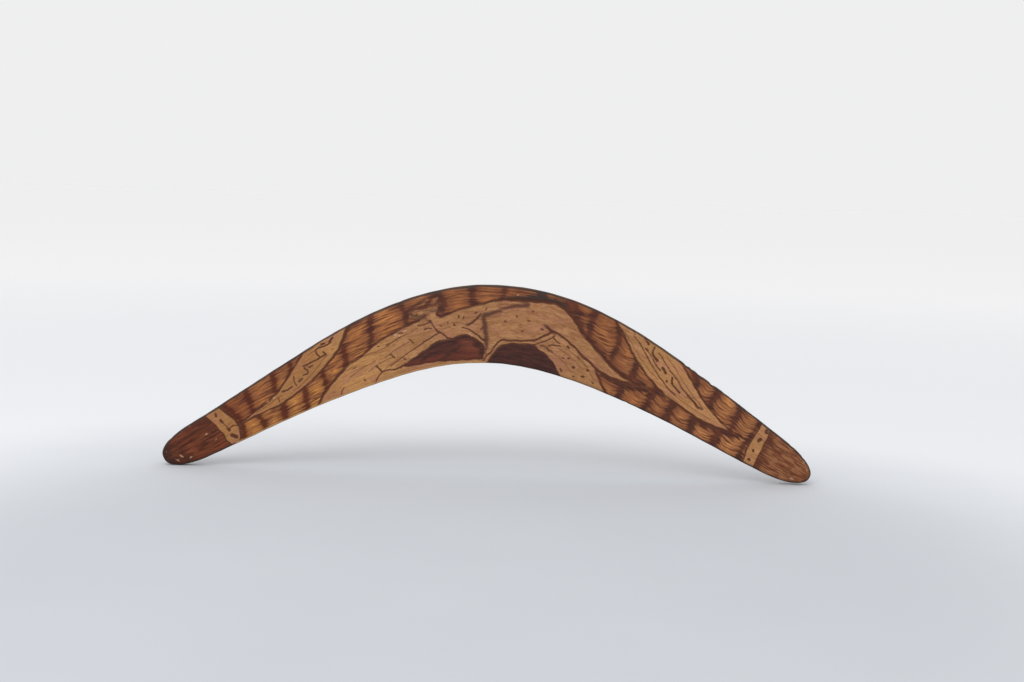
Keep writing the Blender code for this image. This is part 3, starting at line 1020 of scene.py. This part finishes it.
def plain_back():
    """The undecorated back: straight grain along the span under thin varnish."""
    wood = Shader("varnished_back_wood", roughness=0.45, specular=0.3)
    grain = wood.spread((14, 1, 420), 4.0, 0.6, 0.6)
    band = wood.spread((5, 1, 70), 2.0, 0.5, 1.2)
    pores = wood.spread((170, 1, 2300), 2.0, 0.5)
    blotch = wood.spread((22, 22, 22), 3.0, 0.6)
    thread = wood.distance(wood.spread((260, 1, 60), 1.0, 0.5, 1.5), 0.5)
    kept = wood.ramp(wood.spread((40, 1, 55)), 0.56, 0.66)
    scratch = wood.times(wood.ramp(thread, 0.014, 0.0), kept)
    towards_tip = wood.ragged(wood.math("ABSOLUTE", wood.field("along")), blotch, 60.0)
    colour = wood.layers(
        (142, 98, 64),
        ((178, 130, 88), band, 0.36, 0.64),
        ((116, 74, 46), grain, 0.46, 0.66, 0.55),
        ((84, 52, 34), pores, 0.6, 0.7, 0.55),
        # Handling: blotches, a darker stain at the tips, fine scratches, and a dark rim.
        ((104, 66, 44), blotch, 0.5, 0.7, 0.35),
        ((92, 52, 34), towards_tip, 190, 228, 0.6),
        ((206, 168, 130), wood.times(scratch, 0.6)),
        ((58, 42, 34), wood.ragged(wood.field("edge"), blotch, 4.0), 2.4, 0.4, 0.8),
    )
    wood.bump(wood.total((grain, 1.0), (pores, -0.8), (scratch, -0.8)))
    return wood.finish(colour, wood.ramp(blotch, 0.3, 0.7, 0.52, 0.36))


# ---- The five plies. Each meets its neighbour in the middle of the CAD model's glue line ----

NODES = ("face_veneer", "front_crossband", "core_ply", "back_crossband", "back_veneer")


def ply_limits():
    """(start, end) depth of each visible ply below the decorated face, from the CAD boxes."""
    faces = [(low.y / MM + THICKNESS, high.y / MM + THICKNESS) for low, high in map(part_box, NODES)]
    joints = [(before[1] + after[0]) / 2 for before, after in zip(faces, faces[1:])]
    starts = [0.0] + [joint + PLY_CLEARANCE for joint in joints]
    ends = [joint - PLY_CLEARANCE for joint in joints] + [THICKNESS]
    return list(zip(starts, ends))


crossband_wood = stained_edge("stained_crossband_wood", (74, 48, 36), (104, 70, 50), 0.9, 2.4)
MATERIALS = (
    decorated_wood(),
    crossband_wood,
    stained_edge("stained_core_wood", (118, 80, 54), (152, 108, 74), 0.05, 1.2),
    crossband_wood,
    plain_back(),
)
for index, (start, end) in enumerate(ply_limits()):
    front = FACE_COLUMNS if index == 0 else 1
    back = BACK_COLUMNS if index == len(NODES) - 1 else 1
    step = FACE_STEP if index == 0 else EDGE_STEP
    ply, edge = build_ply(start, end, step, front, back)
    piece = make_object(NODES[index] + "_wood", ply, edge, MATERIALS[index], decorated=index == 0)
    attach(piece, "root")
    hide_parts(NODES[index])


# ---- Stage, light and camera ----

FLOOR_HALF_SIDE = 14.0
KEY_LIGHT_PLACE = (-0.5, -1.3, 1.2)
KEY_LIGHT_SIDE = 1.0
KEY_LIGHT_POWER = 9.0
CLOTH_MIDDLE = (0.0, -0.25, 0.0)
FOCAL_LENGTH = 50.0
SENSOR_WIDTH = 36.0
CAMERA_DISTANCE = 0.914
CAMERA_ELEVATION = math.radians(6.4)
BOARD_ROLL = math.radians(1.85)
BOARD_LEFT_OF_CENTRE = 0.0148
BOARD_BELOW_CENTRE = 0.0257


def make_floor():
    """A pale floor just under the two tips, a shade greyer near them."""
    side, bottom = FLOOR_HALF_SIDE, cad_low.z
    corners = [(x * side, y * side, bottom) for x, y in ((-1, -1), (1, -1), (1, 1), (-1, 1))]
    mesh = bpy.data.meshes.new("pale_floor")
    mesh.from_pydata(corners, [], [(0, 1, 2, 3)])
    cloth = Shader("pale_floor_cloth", roughness=0.9, specular=0.05)
    mottle = cloth.spread((5, 5, 5), 3.0)
    reach = cloth.vector_math("DISTANCE", cloth.place(), CLOTH_MIDDLE).outputs["Value"]
    away = cloth.math("SUBTRACT", reach, cloth.times(mottle, 0.1))
    near = cloth.mix(mottle, (198, 202, 207), (206, 209, 214))
    colour = cloth.layers(near, ((238, 240, 243), away, 0.18, 0.48), ((255, 255, 255), away, 0.5, 2.2))
    mesh.materials.append(cloth.finish(colour))
    floor = add_object("pale_floor", mesh)


def make_world():
    world = bpy.data.worlds.new("pale_surroundings")
    world.use_nodes = True
    background = world.node_tree.nodes["Background"]
    background.inputs["Color"].default_value = linear((239, 239, 240))
    background.inputs["Strength"].default_value = 1.0
    bpy.context.scene.world = world


def make_key_light():
    """A square area light that faces the board's elbow."""
    lamp = bpy.data.lights.new("key_light", "AREA")
    lamp.size = KEY_LIGHT_SIDE
    lamp.energy = KEY_LIGHT_POWER
    made = add_object("key_light", lamp)
    made.location = KEY_LIGHT_PLACE
    made.rotation_euler = (-made.location).to_track_quat("-Z", "Y").to_euler()


def make_camera():
    """Looks at the decorated face from a little above, with the board slightly off the middle."""
    data = bpy.data.cameras.new("camera")
    data.lens = FOCAL_LENGTH
    data.sensor_width = SENSOR_WIDTH
    camera = add_object("camera", data)
    back = Vector((0.0, -math.cos(CAMERA_ELEVATION), math.sin(CAMERA_ELEVATION)))
    level = (-back).to_track_quat("-Z", "Y").to_matrix()
    axes = level @ Matrix.Rotation(BOARD_ROLL, 3, "Z")
    middle = (cad_low + cad_high) / 2
    middle.y = cad_low.y
    aside = axes @ Vector((BOARD_LEFT_OF_CENTRE, BOARD_BELOW_CENTRE, 0.0))
    camera.location = middle + back * CAMERA_DISTANCE + aside
    camera.rotation_euler = axes.to_euler()
    bpy.context.scene.camera = camera


make_floor()
make_world()
make_key_light()
make_camera()
bpy.context.scene.view_settings.view_transform = "Standard"
